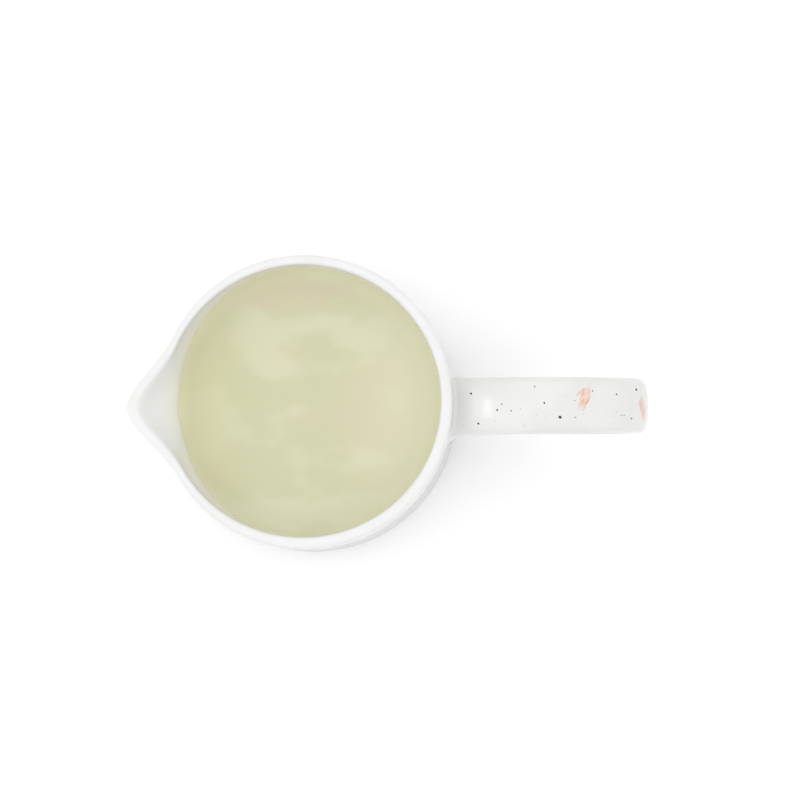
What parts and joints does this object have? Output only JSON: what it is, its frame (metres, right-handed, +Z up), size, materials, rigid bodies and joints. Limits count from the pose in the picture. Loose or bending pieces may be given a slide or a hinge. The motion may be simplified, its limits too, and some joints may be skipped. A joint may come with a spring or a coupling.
{
  "type": "candle melting pot",
  "caption": "Glazed ceramic pot for melting and pouring candle wax, with a spout drawn out of the rim, an ear-shaped strap handle and a charge of pale green wax.",
  "frame": {"origin": "middle of the flat base, on the vessel's axis", "axes": "+Z up along the vessel's axis, +X towards the handle, -X towards the spout"},
  "size_m": [0.1602, 0.09, 0.08],
  "materials": {
    "white_glaze": "gloss",
    "speckled_glaze": "gloss",
    "candle_wax": "satin"
  },
  "bodies": {
    "root": {"pot_body": "white_glaze", "strap_handle": "speckled_glaze", "wax_fill": "candle_wax"}
  },
  "joints": []
}
